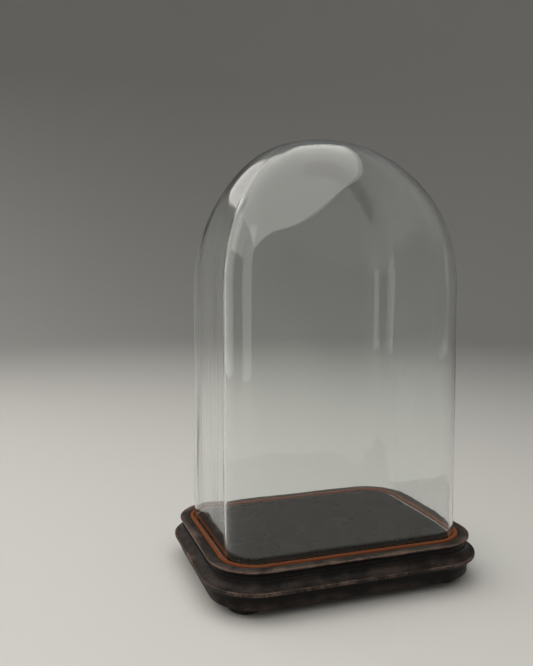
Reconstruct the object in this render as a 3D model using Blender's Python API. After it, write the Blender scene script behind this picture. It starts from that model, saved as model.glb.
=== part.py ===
"""An oblong glass display dome on a two-tier moulded wooden stand.

Metres, Z up. The stand's feet rest on z = 0, the long side runs along X and the front faces -Y.
"""

import math

import bmesh
import bpy

MM = 0.001

# Sizes of the glass dome
dome_length = 234.6 * MM  # outside of the glass at its foot, along X
dome_width = 170.4 * MM  # outside of the glass at its foot, along Y
dome_corner = 30.0 * MM  # plan radius of its corners, outside
dome_height = 386.6 * MM  # rim to crown
wall_height = 234.7 * MM  # rim to spring line, where the crown starts to close in
wall_draft = 0.8 * MM  # how far each wall leans in by the spring line
glass_thickness = 3.0 * MM
crown_fullness = 2.4  # exponent of the crown's arch: 2 is an ellipse, more is squarer
crown_easing = 2.6  # how late the plan turns from a rounded rectangle into an ellipse

# Sizes of the stand, from the floor up
foot_height = 9.5 * MM
foot_diameter = 34.0 * MM
foot_seat_diameter = 22.0 * MM  # flat faces above and below the bun
foot_inset = 38.0 * MM  # centre of a foot to the plinth's edges
spigot_diameter = 12.0 * MM
spigot_length = 10.0 * MM
plinth_height = 26.4 * MM
plinth_margin = 21.2 * MM  # how far the plinth's nose stands out past the glass
plinth_neck_margin = 12.6 * MM  # the plinth's top edge past the glass
plinth_neck_height = 0.8 * MM  # small upright step above the upper cove
plinth_upper_cove = 6.8 * MM  # height of the cove that sweeps out to the nose
plinth_nose_height = 3.6 * MM
plinth_nose_round = 1.0 * MM
plinth_lower_cove = 7.2 * MM  # height of the cove that undercuts the nose
plinth_foot_margin = 14.0 * MM  # the plinth's upright side past the glass
plinth_foot_round = 1.2 * MM  # easing of the bottom edge
board_height = 8.6 * MM
board_margin = 15.2 * MM  # how far the top board's lip stands out past the glass
board_recess = 3.5 * MM  # depth of the tray for the floor, the glass and the cord
board_recess_easing = 0.4 * MM
board_lip_height = 2.2 * MM
board_lip_round = 0.7 * MM
board_foot_margin = 11.6 * MM  # the top board's underside past the glass
board_foot_height = 0.6 * MM  # small upright step below the cove
floor_height = 3.2 * MM
floor_clearance = 2.0 * MM  # between the glass and the display floor's edge
floor_edge_round = 0.8 * MM
felt_height = 1.0 * MM
cord_diameter = 5.0 * MM

# Sizes of the wood screws
screw_shank_diameter = 3.6 * MM
screw_head_diameter = 7.4 * MM
screw_head_height = 2.2 * MM
screw_point_length = 7.0 * MM
screw_slot_width = 1.0 * MM
screw_slot_depth = 1.0 * MM
screw_recess = 1.5 * MM  # head below the plinth's underside
screw_cover = 2.0 * MM  # wood left above a screw's tip in the top board
screw_edge_x = 62.0 * MM  # screws at the ends, from the plinth's edge
screw_edge_y = 45.0 * MM

# Clearances
seat_gap = 0.3 * MM  # between two pieces that rest on each other or fit together
cord_end_gap = 0.5 * MM  # between the butted ends of the cord

# Fineness of the curves
corner_steps = 10
dome_corner_steps = 8
dome_long_steps = 12
dome_short_steps = 8
crown_steps = 16
round_steps = 4
easing_steps = 2
cove_steps = 6
turned_steps = 28
screw_steps = 16
cord_roundness = 3  # ten sides
sharp_angle = math.radians(35.0)  # steeper edges are shaded as creases

# Levels that follow from the sizes
plinth_level = foot_height + seat_gap
board_level = plinth_level + plinth_height + seat_gap
tray_level = board_level + board_height - board_recess
floor_level = tray_level + seat_gap
felt_level = tray_level + seat_gap
rim_level = felt_level + felt_height + seat_gap
plinth_length = dome_length + 2 * plinth_margin
plinth_width = dome_width + 2 * plinth_margin


def clear_scene():
    for item in list(bpy.data.objects):
        bpy.data.objects.remove(item, do_unlink=True)


def make_material(name, colour, roughness, metallic=0.0, transmission=0.0):
    material = bpy.data.materials.new(name)
    material.use_nodes = True
    shader = material.node_tree.nodes["Principled BSDF"]
    shader.inputs["Base Color"].default_value = (*colour, 1.0)
    shader.inputs["Roughness"].default_value = roughness
    shader.inputs["Metallic"].default_value = metallic
    shader.inputs["Transmission Weight"].default_value = transmission
    return material


def add_object(name, data, parent, location=(0.0, 0.0, 0.0), material=None):
    item = bpy.data.objects.new(name, data)
    item.parent = parent
    item.location = location
    bpy.context.scene.collection.objects.link(item)
    if material and not data.materials:
        data.materials.append(material)
    return item


def add_empty(name, parent=None, location=(0.0, 0.0, 0.0)):
    return add_object(name, None, parent, location)


def rounded_rectangle(length, width, corner, arc_steps, long_steps=1, short_steps=1):
    """Plan points of a rounded rectangle, anticlockwise from the start of its back right corner."""
    points = []
    for quarter in range(4):
        side_x = 1 if quarter in (0, 3) else -1
        side_y = 1 if quarter in (0, 1) else -1
        centre_x = side_x * (length / 2 - corner)
        centre_y = side_y * (width / 2 - corner)
        for step in range(arc_steps + 1):
            angle = (quarter + step / arc_steps) * math.pi / 2
            points.append((centre_x + corner * math.cos(angle), centre_y + corner * math.sin(angle)))
        straight_steps = long_steps if quarter in (0, 2) else short_steps
        run = (length if quarter in (0, 2) else width) - 2 * corner
        start_x, start_y = points[-1]
        heading_x = (-1, 0, 1, 0)[quarter]
        heading_y = (0, -1, 0, 1)[quarter]
        for step in range(1, straight_steps):
            way = run * step / straight_steps
            points.append((start_x + way * heading_x, start_y + way * heading_y))
    return points


def outline_past_glass(margin):
    """The dome's plan grown outward by a margin, or shrunk where the margin is negative."""
    length = dome_length + 2 * margin
    width = dome_width + 2 * margin
    return rounded_rectangle(length, width, dome_corner + margin, corner_steps)


def quarter_round(start, end, level_first, steps=round_steps):
    """Points of an elliptic quarter from start to end of a profile; level_first leaves start level."""
    points = []
    for step in range(steps + 1):
        angle = step / steps * math.pi / 2
        early = math.sin(angle)
        late = 1 - math.cos(angle)
        across, up = (early, late) if level_first else (late, early)
        points.append((start[0] + (end[0] - start[0]) * across, start[1] + (end[1] - start[1]) * up))
    return points


def loft(name, rings, ends):
    """A mesh skinned through rings of points or single poles; ends is "fill", "join" or "pole"."""
    mesh = bmesh.new()
    loops = [[mesh.verts.new(point) for point in ring] for ring in rings]
    pairs = list(zip(loops, loops[1:]))
    if ends == "join":
        pairs.append((loops[-1], loops[0]))
    for one, other in pairs:
        count = max(len(one), len(other))
        for index in range(count):
            following = (index + 1) % count
            corners = [one[index % len(one)]]
            if len(one) > 1:
                corners.append(one[following])
            if len(other) > 1:
                corners.append(other[following])
            corners.append(other[index % len(other)])
            mesh.faces.new(corners)
    if ends == "fill":
        mesh.faces.new(loops[0])
        mesh.faces.new(loops[-1])
    bmesh.ops.recalc_face_normals(mesh, faces=mesh.faces)
    return finish_mesh(name, mesh)


def finish_mesh(name, mesh):
    data = bpy.data.meshes.new(name)
    mesh.to_mesh(data)
    mesh.free()
    data.shade_smooth()
    data.set_sharp_from_angle(angle=sharp_angle)
    return data


def moulded_board(name, profile):
    """A solid board whose edge follows a profile of (margin past the glass, height) from the top down."""
    rings = []
    for margin, height in profile:
        rings.append([(x, y, height) for x, y in outline_past_glass(margin)])
    return loft(name, rings, "fill")


def turned(name, profile, parent, location, material, steps=turned_steps):
    """A solid of revolution about Z from a profile of (radius, height) that runs from the top down."""
    mesh = bmesh.new()
    previous = None
    for radius, height in profile:
        point = mesh.verts.new((radius, 0.0, height))
        if previous:
            mesh.edges.new((previous, point))
        previous = point
    item = add_object(name, finish_mesh(name, mesh), parent, location, material)
    screw = item.modifiers.new("turn", "SCREW")
    screw.axis = "Z"
    screw.angle = 2 * math.pi
    screw.screw_offset = 0.0
    screw.steps = steps
    screw.render_steps = steps
    screw.use_merge_vertices = True
    screw.merge_threshold = 0.00001
    screw.use_smooth_shade = True
    return item


def cut(item, name, data, parent, location):
    """Cuts a hidden shape, placed at location, out of an object."""
    cutter = add_object(name, data, parent, location)
    cutter.hide_render = True
    cutter.display_type = "WIRE"
    boolean = item.modifiers.new(name, "BOOLEAN")
    boolean.operation = "DIFFERENCE"
    boolean.solver = "EXACT"
    boolean.object = cutter


def cut_holes(item, name, parent, places, profile, steps):
    """Cuts the same turned hole, a profile of (radius, height), at each of several plan places."""
    rings = []
    for radius, height in profile:
        angles = [2 * math.pi * step / steps for step in range(steps)]
        rings.append([(radius * math.cos(angle), radius * math.sin(angle), height) for angle in angles])
    for number, (x, y) in enumerate(places, start=1):
        hole_name = f"{name}_{number}"
        cut(item, hole_name, loft(hole_name, rings, "fill"), parent, (x, y, 0.0))


def crown_section(plan, rise, spread, length, width):
    """Plan points at a share of the crown's rise: drawn in by spread and eased into an ellipse."""
    ellipse_share = rise**crown_easing
    points = []
    for x, y in plan:
        reach = math.hypot(2 * x / length, 2 * y / width)
        scale = spread * (1 - ellipse_share + ellipse_share / reach)
        points.append((x * scale, y * scale))
    return points


def dome_skin(inset):
    """Rings of one face of the glass from its rim up to the pole, moved in from the outside by inset."""
    shape = (dome_corner_steps, dome_long_steps, dome_short_steps)
    length = dome_length - 2 * inset
    width = dome_width - 2 * inset
    corner = dome_corner - inset
    top = dome_height - inset
    rings = [[(x, y, 0.0) for x, y in rounded_rectangle(length, width, corner, *shape)]]
    length -= 2 * wall_draft
    width -= 2 * wall_draft
    corner -= wall_draft
    spring_plan = rounded_rectangle(length, width, corner, *shape)
    for step in range(crown_steps):
        angle = step / crown_steps * math.pi / 2
        rise = math.sin(angle) ** (2 / crown_fullness)
        spread = math.cos(angle) ** (2 / crown_fullness)
        height = wall_height + (top - wall_height) * rise
        section = crown_section(spring_plan, rise, spread, length, width)
        rings.append([(x, y, height) for x, y in section])
    rings.append([(0.0, 0.0, top)])
    return rings


def make_glass_dome(parent, material):
    """The outside of the glass from the crown down, the flat ground rim, and the inside back up."""
    rings = dome_skin(0.0)[::-1] + dome_skin(glass_thickness)
    return add_object("glass_dome", loft("glass_dome", rings, "pole"), parent, material=material)


def make_chenille_cord(parent, material):
    """A plush cord in the tray, round the glass, its two ends butted in the middle of the back."""
    offset = seat_gap + cord_diameter / 2
    route = outline_past_glass(offset)
    back_start = corner_steps + 1
    back_y = dome_width / 2 + offset
    route = route[back_start:] + route[:back_start]
    route = [(-cord_end_gap / 2, back_y), *route, (cord_end_gap / 2, back_y)]
    curve = bpy.data.curves.new("chenille_cord", "CURVE")
    curve.dimensions = "3D"
    curve.bevel_depth = cord_diameter / 2
    curve.bevel_resolution = cord_roundness
    curve.use_fill_caps = True
    spline = curve.splines.new("POLY")
    spline.points.add(len(route) - 1)
    for point, (x, y) in zip(spline.points, route):
        point.co = (x, y, 0.0, 1.0)
    level = tray_level + seat_gap + cord_diameter / 2
    return add_object("chenille_cord", curve, parent, (0.0, 0.0, level), material)


def make_rim_felt(parent, material):
    """A flat felt ring under the ground rim, between the display floor's edge and the glass's outside."""
    inner = -glass_thickness - floor_clearance + seat_gap
    outer = 0.0
    corners = ((inner, 0.0), (outer, 0.0), (outer, felt_height), (inner, felt_height))
    rings = []
    for margin, height in corners:
        rings.append([(x, y, height) for x, y in outline_past_glass(margin)])
    return add_object("rim_felt", loft("rim_felt", rings, "join"), parent, (0.0, 0.0, felt_level), material)


def make_display_floor(parent, material):
    edge = -glass_thickness - floor_clearance
    profile = quarter_round(
        (edge - floor_edge_round, floor_height), (edge, floor_height - floor_edge_round), True
    )
    profile.append((edge, 0.0))
    data = moulded_board("display_floor", profile)
    return add_object("display_floor", data, parent, (0.0, 0.0, floor_level), material)


def screw_places():
    """Plan places of the wood screws: three along the front and three along the back."""
    end_x = plinth_length / 2 - screw_edge_x
    row_y = plinth_width / 2 - screw_edge_y
    return [(x, y) for y in (-row_y, row_y) for x in (-end_x, 0.0, end_x)]


def screw_length():
    """From the head's face to the tip, which stays short of the tray in the top board."""
    return tray_level - screw_cover - plinth_level - screw_recess


def make_top_board(parent, material):
    """The upper tier: a tray with a raised ledge, a thin lip, and a cove that undercuts it."""
    top = board_height
    tray_edge = seat_gap + cord_diameter + seat_gap
    profile = [
        (tray_edge, top - board_recess),
        (tray_edge, top - board_recess_easing),
        (tray_edge + board_recess_easing, top),
    ]
    rounding = board_lip_round
    edge = board_margin
    inner = edge - rounding
    under = top - board_lip_height
    cove_end = (board_foot_margin, board_foot_height)
    profile += quarter_round((inner, top), (edge, top - rounding), True, easing_steps)
    profile += quarter_round((edge, under + rounding), (inner, under), False, easing_steps)
    profile += quarter_round((inner, under), cove_end, True, cove_steps)[1:]
    profile.append((board_foot_margin, 0.0))
    data = moulded_board("top_board", profile)
    item = add_object("top_board", data, parent, (0.0, 0.0, board_level), material)
    hole = screw_shank_diameter / 2 + seat_gap
    below = board_level - board_height
    end = tray_level - screw_cover + seat_gap
    cut_holes(item, "pilot_hole", parent, screw_places(), ((hole, below), (hole, end)), screw_steps)
    return item


def foot_places():
    """Name and plan place of each foot."""
    x = plinth_length / 2 - foot_inset
    y = plinth_width / 2 - foot_inset
    return {
        "foot_front_left": (-x, -y),
        "foot_front_right": (x, -y),
        "foot_back_left": (-x, y),
        "foot_back_right": (x, y),
    }


def make_plinth(parent, material):
    """The lower tier: a cove that sweeps out to a rounded nose, and a cove that undercuts it."""
    cove_top = plinth_height - plinth_neck_height
    nose_top = cove_top - plinth_upper_cove
    nose_under = nose_top - plinth_nose_height
    rounding = plinth_nose_round
    edge = plinth_margin
    inner = edge - rounding
    side = plinth_foot_margin
    side_top = nose_under - plinth_lower_cove
    foot_edge = side - plinth_foot_round
    profile = [(plinth_neck_margin, plinth_height)]
    profile += quarter_round((plinth_neck_margin, cove_top), (inner, nose_top), False, cove_steps)
    profile += quarter_round((inner, nose_top), (edge, nose_top - rounding), True, easing_steps)[1:]
    profile += quarter_round((edge, nose_under + rounding), (inner, nose_under), False, easing_steps)
    profile += quarter_round((inner, nose_under), (side, side_top), True, cove_steps)[1:]
    profile += quarter_round((side, plinth_foot_round), (foot_edge, 0.0), False, easing_steps)
    data = moulded_board("plinth", profile)
    item = add_object("plinth", data, parent, (0.0, 0.0, plinth_level), material)
    shank = screw_shank_diameter / 2 + seat_gap
    head = screw_head_diameter / 2 + seat_gap
    below = plinth_level - plinth_height
    head_face = plinth_level + screw_recess
    neck = head_face + screw_head_height
    above = plinth_level + 2 * plinth_height
    hole = ((head, below), (head, head_face), (shank, neck), (shank, above))
    cut_holes(item, "screw_hole", parent, screw_places(), hole, screw_steps)
    socket = spigot_diameter / 2 + seat_gap
    socket_end = foot_height + spigot_length + seat_gap
    socket_hole = ((socket, below), (socket, socket_end))
    cut_holes(item, "foot_socket", parent, foot_places().values(), socket_hole, turned_steps)
    return item


def make_feet(parent, material):
    """Four turned bun feet, each with a spigot that stands in a socket of the plinth."""
    seat = foot_seat_diameter / 2
    belly = foot_diameter / 2
    middle = foot_height / 2
    spigot = spigot_diameter / 2
    top = foot_height + spigot_length
    profile = [(0.0, top), (spigot, top), (spigot, foot_height)]
    profile += quarter_round((seat, foot_height), (belly, middle), True)
    profile += quarter_round((belly, middle), (seat, 0.0), False)[1:]
    profile.append((0.0, 0.0))
    return [turned(name, profile, parent, (x, y, 0.0), material) for name, (x, y) in foot_places().items()]


def make_screws(parent, material):
    """Slotted countersunk wood screws, heads down, from the plinth's underside into the top board."""
    shank = screw_shank_diameter / 2
    head = screw_head_diameter / 2
    length = screw_length()
    profile = (
        (0.0, length),
        (shank, length - screw_point_length),
        (shank, screw_head_height),
        (head, 0.0),
        (0.0, 0.0),
    )
    head_face = plinth_level + screw_recess
    screws = []
    for number, (x, y) in enumerate(screw_places(), start=1):
        item = turned(f"screw_{number}", profile, parent, (x, y, head_face), material, screw_steps)
        mesh = bmesh.new()
        bmesh.ops.create_cube(mesh, size=1.0)
        slot_size = (2 * screw_head_diameter, screw_slot_width, 2 * screw_slot_depth)
        bmesh.ops.scale(mesh, vec=slot_size, verts=mesh.verts)
        cut(item, f"slot_{number}", finish_mesh(f"slot_{number}", mesh), parent, (x, y, head_face))
        screws.append(item)
    return screws


def main():
    clear_scene()
    glass = make_material("clear_glass", (0.95, 0.97, 0.96), 0.0, transmission=1.0)
    ebonised = make_material("ebonised_wood", (0.022, 0.018, 0.016), 0.45)
    floor_finish = make_material("floor_polish", (0.016, 0.016, 0.015), 0.25)
    plush = make_material("rust_chenille", (0.36, 0.10, 0.03), 0.95)
    felt = make_material("rust_felt", (0.22, 0.07, 0.03), 0.95)
    steel = make_material("screw_steel", (0.32, 0.30, 0.28), 0.4, metallic=1.0)

    stand = add_empty("stand")
    lift = add_empty("dome_lift", stand, (0.0, 0.0, rim_level))
    make_glass_dome(lift, glass)
    make_chenille_cord(stand, plush)
    make_rim_felt(stand, felt)
    make_display_floor(stand, floor_finish)
    make_top_board(stand, ebonised)
    make_plinth(stand, ebonised)
    make_feet(stand, ebonised)
    make_screws(stand, steel)


main()
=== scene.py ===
# %% [markdown]
# # Dressing a glass display dome
# The model is an oblong bell jar: a blown glass dome that lifts off a two-tier ebonised stand,
# with a rust chenille cord round the foot of the glass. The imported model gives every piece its
# place and its motion, but its curves are coarse and its colours are plain. In this lesson each
# piece is made again with fine curves, worn edges and pile, in the same place, and gets a finish
# built from nodes.

import math

import bmesh
import bpy
import numpy as np
from mathutils import Matrix, Vector, noise


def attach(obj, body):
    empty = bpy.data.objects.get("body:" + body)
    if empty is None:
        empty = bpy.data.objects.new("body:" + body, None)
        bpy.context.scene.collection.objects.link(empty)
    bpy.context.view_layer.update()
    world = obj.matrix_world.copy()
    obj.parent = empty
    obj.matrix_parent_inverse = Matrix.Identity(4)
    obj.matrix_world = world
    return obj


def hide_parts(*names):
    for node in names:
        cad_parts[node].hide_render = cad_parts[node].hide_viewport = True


MM = 0.001
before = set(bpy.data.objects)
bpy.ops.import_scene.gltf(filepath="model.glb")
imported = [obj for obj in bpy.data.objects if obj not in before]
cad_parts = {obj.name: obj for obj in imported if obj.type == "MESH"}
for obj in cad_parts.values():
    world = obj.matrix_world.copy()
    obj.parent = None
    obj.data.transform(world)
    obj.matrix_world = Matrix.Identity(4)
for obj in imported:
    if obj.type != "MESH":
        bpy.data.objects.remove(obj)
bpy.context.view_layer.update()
scene = bpy.context.scene
scene.view_settings.view_transform = "Standard"
print("nodes:", ", ".join(sorted(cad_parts)))

# %% [markdown]
# ## The camera
# The photograph was taken from the front left, a little above the stand, with a lens slightly
# longer than a phone's. A camera can be placed by eye, but outlines that are known to be level
# and square pin it down better: this place and these angles were solved from the outlines of the
# cord and of the stand's two tiers.

# %% Camera
picture_height = 666
focal_length_in_pixels = 720.0
camera_place = (-0.2832, -0.6666, 0.3037)
camera_turn = math.radians(-18.74)
camera_dip = math.radians(5.01)
camera_roll = math.radians(-0.11)

camera_data = bpy.data.cameras.new("photograph_view")
camera_data.sensor_width = 36.0
camera_data.lens = camera_data.sensor_width * focal_length_in_pixels / picture_height
camera = bpy.data.objects.new("photograph_view", camera_data)
camera.matrix_world = (
    Matrix.Translation(camera_place)
    @ Matrix.Rotation(camera_turn, 4, "Z")
    @ Matrix.Rotation(math.pi / 2 - camera_dip, 4, "X")
    @ Matrix.Rotation(camera_roll, 4, "Z")
)
scene.collection.objects.link(camera)
scene.camera = camera
print("lens in mm:", round(camera_data.lens, 2))

# %% [markdown]
# ## Skinning rings of points
# Almost every piece here is a stack of closed rings: a board's edge is one outline drawn at
# several heights, a foot is a stack of circles, and the dome is a stack of ovals that closes in a
# single point. Blender's Screw modifier or Bridge Edge Loops would do for some of them. One short
# function that skins any stack of rings does for all, and it keeps the points in a known order,
# so that wear can be painted on them by row.

# %% A skin through rings
sharp_angle = math.radians(38.0)


def skin(name, rings, ends="open"):
    """A mesh through rings of points or single points; ends is open, fill (a face at each end) or join."""
    starts = np.cumsum([0] + [len(ring) for ring in rings])
    pairs = [(index, index + 1) for index in range(len(rings) - 1)]
    if ends == "join":
        pairs.append((len(rings) - 1, 0))
    faces = []
    for one, other in pairs:
        count = max(len(rings[one]), len(rings[other]))
        for index in range(count):
            following = (index + 1) % count
            corners = [starts[one] + index % len(rings[one])]
            if len(rings[one]) > 1:
                corners.append(starts[one] + following)
            if len(rings[other]) > 1:
                corners.append(starts[other] + following)
            corners.append(starts[other] + index % len(rings[other]))
            faces.append([int(corner) for corner in corners])
    if ends == "fill":
        faces.append(list(range(len(rings[0]))))
        faces.append(list(range(int(starts[-2]), int(starts[-1]))))
    mesh = bpy.data.meshes.new(name)
    mesh.from_pydata(np.vstack(rings).tolist(), [], faces)
    return settle(mesh)


def settle(mesh):
    """Turns all faces outward and shades the mesh smooth up to its creases."""
    work = bmesh.new()
    work.from_mesh(mesh)
    bmesh.ops.recalc_face_normals(work, faces=work.faces)
    work.to_mesh(mesh)
    work.free()
    mesh.shade_smooth()
    mesh.set_sharp_from_angle(angle=sharp_angle)
    return mesh


def paint(mesh, name, values):
    """Stores a value on each point of a mesh, which a material can read by its name."""
    mesh.attributes.new(name, "FLOAT", "POINT").data.foreach_set("value", values)


def place(name, mesh, material, location=(0.0, 0.0, 0.0)):
    """Adds a mesh to the scene as an object with one material."""
    item = bpy.data.objects.new(name, mesh)
    item.location = location
    scene.collection.objects.link(item)
    if not mesh.materials:
        mesh.materials.append(material)
    return item


def circle(radius, height, steps):
    """A ring of points round Z."""
    angles = np.arange(steps) * 2 * math.pi / steps
    return np.column_stack((radius * np.cos(angles), radius * np.sin(angles), np.full(steps, height)))


print("rings are skinned with creases above", round(math.degrees(sharp_angle)), "degrees")

# %% [markdown]
# ## Nodes in few words
# A material of ten or twenty nodes takes many lines when each node, value and link is written
# out. These helpers take a value or another node's output for any input, so that a node reads as
# one line.

# %% Node helpers


def fill(tree, node, inputs):
    """Sets each input of a node to a value, or links it to another node's output."""
    for key, value in inputs.items():
        if isinstance(value, bpy.types.NodeSocket):
            tree.links.new(value, node.inputs[key])
        else:
            node.inputs[key].default_value = value


def add(tree, kind, inputs=None, **settings):
    """A new shader node with its settings and inputs."""
    node = tree.nodes.new("ShaderNode" + kind)
    for key, value in settings.items():
        setattr(node, key, value)
    fill(tree, node, inputs or {})
    return node


def calculate(tree, operation, first, second=0.0, third=0.0):
    return add(tree, "Math", {0: first, 1: second, 2: third}, operation=operation).outputs[0]


def stretch(tree, value, low, high, new_low=0.0, new_high=1.0):
    """Maps low to high onto a new range, smoothly and without running over."""
    inputs = {"Value": value, 1: low, 2: high, 3: new_low, 4: new_high}
    return add(tree, "MapRange", inputs, interpolation_type="SMOOTHSTEP").outputs[0]


def blend_colours(tree, share, first, second):
    first = (*first, 1.0) if isinstance(first, tuple) else first
    second = (*second, 1.0) if isinstance(second, tuple) else second
    return add(tree, "Mix", {0: share, 6: first, 7: second}, data_type="RGBA").outputs[2]


def speckle(tree, vector, scale, detail=3.0, roughness=0.5):
    inputs = {"Vector": vector, "Scale": scale, "Detail": detail, "Roughness": roughness}
    return add(tree, "TexNoise", inputs).outputs["Fac"]


def start_group(name, inputs, outputs):
    """An empty node group with named sockets; returns it with its inner ends."""
    group = bpy.data.node_groups.new(name, "ShaderNodeTree")
    for label, kind, value in inputs:
        socket = group.interface.new_socket(label, in_out="INPUT", socket_type="NodeSocket" + kind)
        if value is not None:
            socket.default_value = value
    for label, kind in outputs:
        group.interface.new_socket(label, in_out="OUTPUT", socket_type="NodeSocket" + kind)
    return group, group.nodes.new("NodeGroupInput").outputs, group.nodes.new("NodeGroupOutput").inputs


def start_material(name):
    """A new material; returns it with its node tree and its Principled shader."""
    material = bpy.data.materials.new(name)
    material.use_nodes = True
    return material, material.node_tree, material.node_tree.nodes["Principled BSDF"]


print("node helpers are ready")

# %% [markdown]
# ## The studio
# Glass shows only what is round it. A plain pale floor that curves up into a wall on every side
# gives it an even background from any angle, and as the lamps fade with distance the wall turns
# greyer than the floor, which leaves room for the highlights on the glass. One large lamp hangs
# overhead: its straight right edge is what draws the slanting edge of the bright patch on the
# crown. Two dimmer ones, at the back and high at the left, carry the patch on to the left
# shoulder, and two upright ones at the left draw the pair of streaks down the corner.

# %% Floor, lamps and sky
floor_radius = 2.4
sweep_radius = 1.6
wall_top = 3.2
stage_steps = 96
sweep_steps = 16

stage_rings = [np.zeros((1, 3)), circle(floor_radius, 0.0, stage_steps)]
for step in range(1, sweep_steps + 1):
    angle = step / sweep_steps * math.pi / 2
    reach = floor_radius + sweep_radius * math.sin(angle)
    stage_rings.append(circle(reach, sweep_radius * (1 - math.cos(angle)), stage_steps))
stage_rings.append(circle(floor_radius + sweep_radius, wall_top, stage_steps))

paper, paper_tree, paper_shader = start_material("studio_paper")
paper_colour = (0.62, 0.61, 0.59, 1.0)
paper_look = {"Base Color": paper_colour, "Roughness": 0.9, "Specular IOR Level": 0.2}
fill(paper_tree, paper_shader, paper_look)
studio_floor = place("studio_floor", skin("studio_floor", stage_rings), paper)

world = bpy.data.worlds.new("studio_sky")
world.use_nodes = True
sky_light = world.node_tree.nodes["Background"]
fill(world.node_tree, sky_light, {"Color": (0.93, 0.97, 1.0, 1.0), "Strength": 0.15})
scene.world = world

lamp_colour = (1.0, 0.97, 0.92)


def add_lamp(name, centre, facing, width, depth, brightness):
    """A rectangular lamp; brightness is what its face shows, so its power grows with its size."""
    lamp = bpy.data.lights.new(name, "AREA")
    lamp.shape = "RECTANGLE"
    lamp.size = width
    lamp.size_y = depth
    lamp.energy = brightness * math.pi * width * depth
    lamp.color = lamp_colour
    item = bpy.data.objects.new(name, lamp)
    item.location = centre
    item.rotation_euler = Vector(facing).to_track_quat("-Z", "Y").to_euler()
    item.visible_camera = False
    scene.collection.objects.link(item)
    return item


down = (0.0, 0.0, -1.0)
overhead_lamp = add_lamp(
    "overhead_lamp", (-0.35, -0.90, 1.50), down, width=2.00, depth=3.20, brightness=1.50
)
back_lamp = add_lamp("back_lamp", (-0.72, 1.70, 1.50), down, width=0.90, depth=2.40, brightness=1.1)
back_lamp.rotation_euler.z = math.radians(14.5)
left_lamp = add_lamp(
    "left_lamp", (-1.60, 0.10, 1.25), (0.94, 0.0, -0.34), width=1.90, depth=0.80, brightness=1.0
)
left_front_lamp = add_lamp(
    "left_front_lamp", (-0.99, -0.99, 0.76), (0.707, 0.707, 0.0), width=0.75, depth=1.48, brightness=0.9
)
left_back_lamp = add_lamp(
    "left_back_lamp", (-1.20, 0.75, 0.76), (0.848, -0.530, 0.0), width=1.35, depth=1.48, brightness=0.8
)
lamps = (overhead_lamp, back_lamp, left_lamp, left_front_lamp, left_back_lamp)
print("lamps in watts:", ", ".join(f"{lamp.name} {lamp.data.energy:.1f}" for lamp in lamps))

# %% [markdown]
# ## Grain
# Ebonised wood is a close-grained wood stained black, and its grain still shows where light
# grazes it. Noise that is drawn out along the board's length looks like grain on every side: long
# streaks on top, and fine dots on the end grain. The group gives the broad grain and the pores,
# so that each wood can use them as it needs.

# %% Node group: wood grain
wood_grain, inner, result = start_group(
    "wood_grain", [("Vector", "Vector", None)], [("Grain", "Float"), ("Pores", "Float")]
)
slow_noise = add(wood_grain, "TexNoise", {"Vector": inner["Vector"], "Scale": 16.0, "Detail": 2.0})
drift = slow_noise.outputs["Color"]
drift = add(wood_grain, "VectorMath", {0: drift, 1: (-0.5, -0.5, -0.5)}, operation="ADD").outputs[0]
drift_reach = (0.0, 3.0 * MM, 0.3 * MM)
drift = add(wood_grain, "VectorMath", {0: drift, 1: drift_reach}, operation="MULTIPLY").outputs[0]
bent = add(wood_grain, "VectorMath", {0: inner["Vector"], 1: drift}, operation="ADD").outputs[0]
streaks = add(wood_grain, "Mapping", {"Vector": bent, "Scale": (22.0, 600.0, 600.0)}).outputs[0]
dashes = add(wood_grain, "Mapping", {"Vector": bent, "Scale": (75.0, 1500.0, 1500.0)}).outputs[0]
grain_value = stretch(wood_grain, speckle(wood_grain, streaks, 1.0, 5.0, 0.6), 0.33, 0.68)
pore_value = stretch(wood_grain, speckle(wood_grain, dashes, 1.0, 1.0), 0.60, 0.70)
wood_grain.links.new(grain_value, result["Grain"])
wood_grain.links.new(pore_value, result["Pores"])
print("wood_grain has", len(wood_grain.nodes), "nodes")

# %% [markdown]
# ## Worn edges
# Where hands and dusters rub, the black is gone and brown wood shows. A curvature trick could
# find the edges, but it depends on the mesh. Here each piece carries a wear value on its points,
# high along its edges and near zero in its undercuts, which keeps them pure black as painted
# shade. The group breaks that value up with noise into patches and flecks.

# %% Node group: edge wear
edge_wear, inner, result = start_group(
    "edge_wear",
    [("Vector", "Vector", None), ("Wear", "Float", 0.0), ("Patch Scale", "Float", 40.0)],
    [("Mask", "Float")],
)
patches = speckle(edge_wear, inner["Vector"], inner["Patch Scale"], 4.0, 0.6)
flecks = speckle(edge_wear, inner["Vector"], 420.0, 6.0, 0.7)
rough_edge = calculate(edge_wear, "ADD", calculate(edge_wear, "MULTIPLY", patches, 1.1), flecks)
worn = calculate(edge_wear, "ADD", inner["Wear"], calculate(edge_wear, "SUBTRACT", rough_edge, 1.05))
rubbed_at_all = stretch(edge_wear, inner["Wear"], 0.0, 0.12)
worn = calculate(edge_wear, "MULTIPLY", stretch(edge_wear, worn, 0.45, 0.95), rubbed_at_all)
edge_wear.links.new(worn, result["Mask"])
print("edge_wear has", len(edge_wear.nodes), "nodes")

# %% [markdown]
# ## Dust
# Dust lies only where a surface faces up. The group reads the surface's normal, and gives a thin
# uneven film with some larger specks: each cell of a Voronoi pattern may hold one, and a random
# number for the cell picks which do.

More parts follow.
